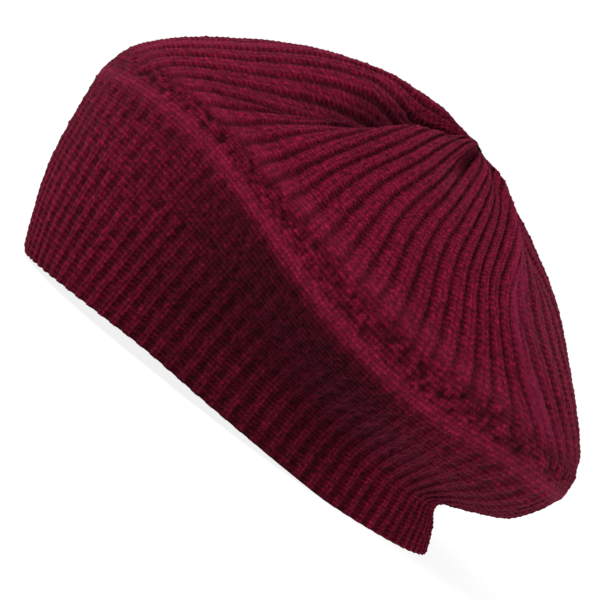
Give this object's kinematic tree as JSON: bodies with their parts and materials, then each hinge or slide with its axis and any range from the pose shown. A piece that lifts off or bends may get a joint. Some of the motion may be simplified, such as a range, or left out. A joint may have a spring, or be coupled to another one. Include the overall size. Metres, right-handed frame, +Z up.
{
  "type": "beret",
  "caption": "Slouchy rib-knit beret: a snug ribbed band flares to a soft rolled fold, and the ribbed crown draws in to a gather behind the middle.",
  "frame": {"origin": "middle of the head opening, in the plane of the brim edge", "axes": "+Z up through the crown, -Y towards the forehead, +X towards the wearer's left ear"},
  "size_m": [0.2184, 0.237, 0.1381],
  "materials": {
    "rib_knit": "soft brushed wool in 2x2 rib",
    "linking_thread": "matte wool linking yarn",
    "draw_yarn": "plied wool yarn",
    "woven_label": "damask weave, blank",
    "stitch_thread": "polyester sewing thread",
    "satin_ribbon": "satin ribbon, blank"
  },
  "bodies": {
    "root": {"brim_welt": "rib_knit", "rib_band": "rib_knit", "underbrim_panel": "rib_knit", "rolled_shoulder": "rib_knit", "crown_left": "rib_knit", "crown_back": "rib_knit", "crown_right": "rib_knit", "crown_front": "rib_knit", "crown_gather": "rib_knit", "dart_seam_1": "linking_thread", "dart_seam_2": "linking_thread", "dart_seam_3": "linking_thread", "dart_seam_4": "linking_thread", "back_seam": "linking_thread", "crown_draw_yarn": "draw_yarn", "draw_yarn_knot": "draw_yarn", "woven_label": "woven_label", "label_stitches": "stitch_thread", "tab_stitches": "stitch_thread"},
    "care_tab": {"care_tab": "satin_ribbon"}
  },
  "joints": [
    {"name": "care_tab_flap", "type": "hinge", "parent": "root", "child": "care_tab", "pos_m": [0, 0.08505, 0.0085], "axis": [0, -0.2906, 0.9568], "range_deg": [-12, 142]}
  ]
}
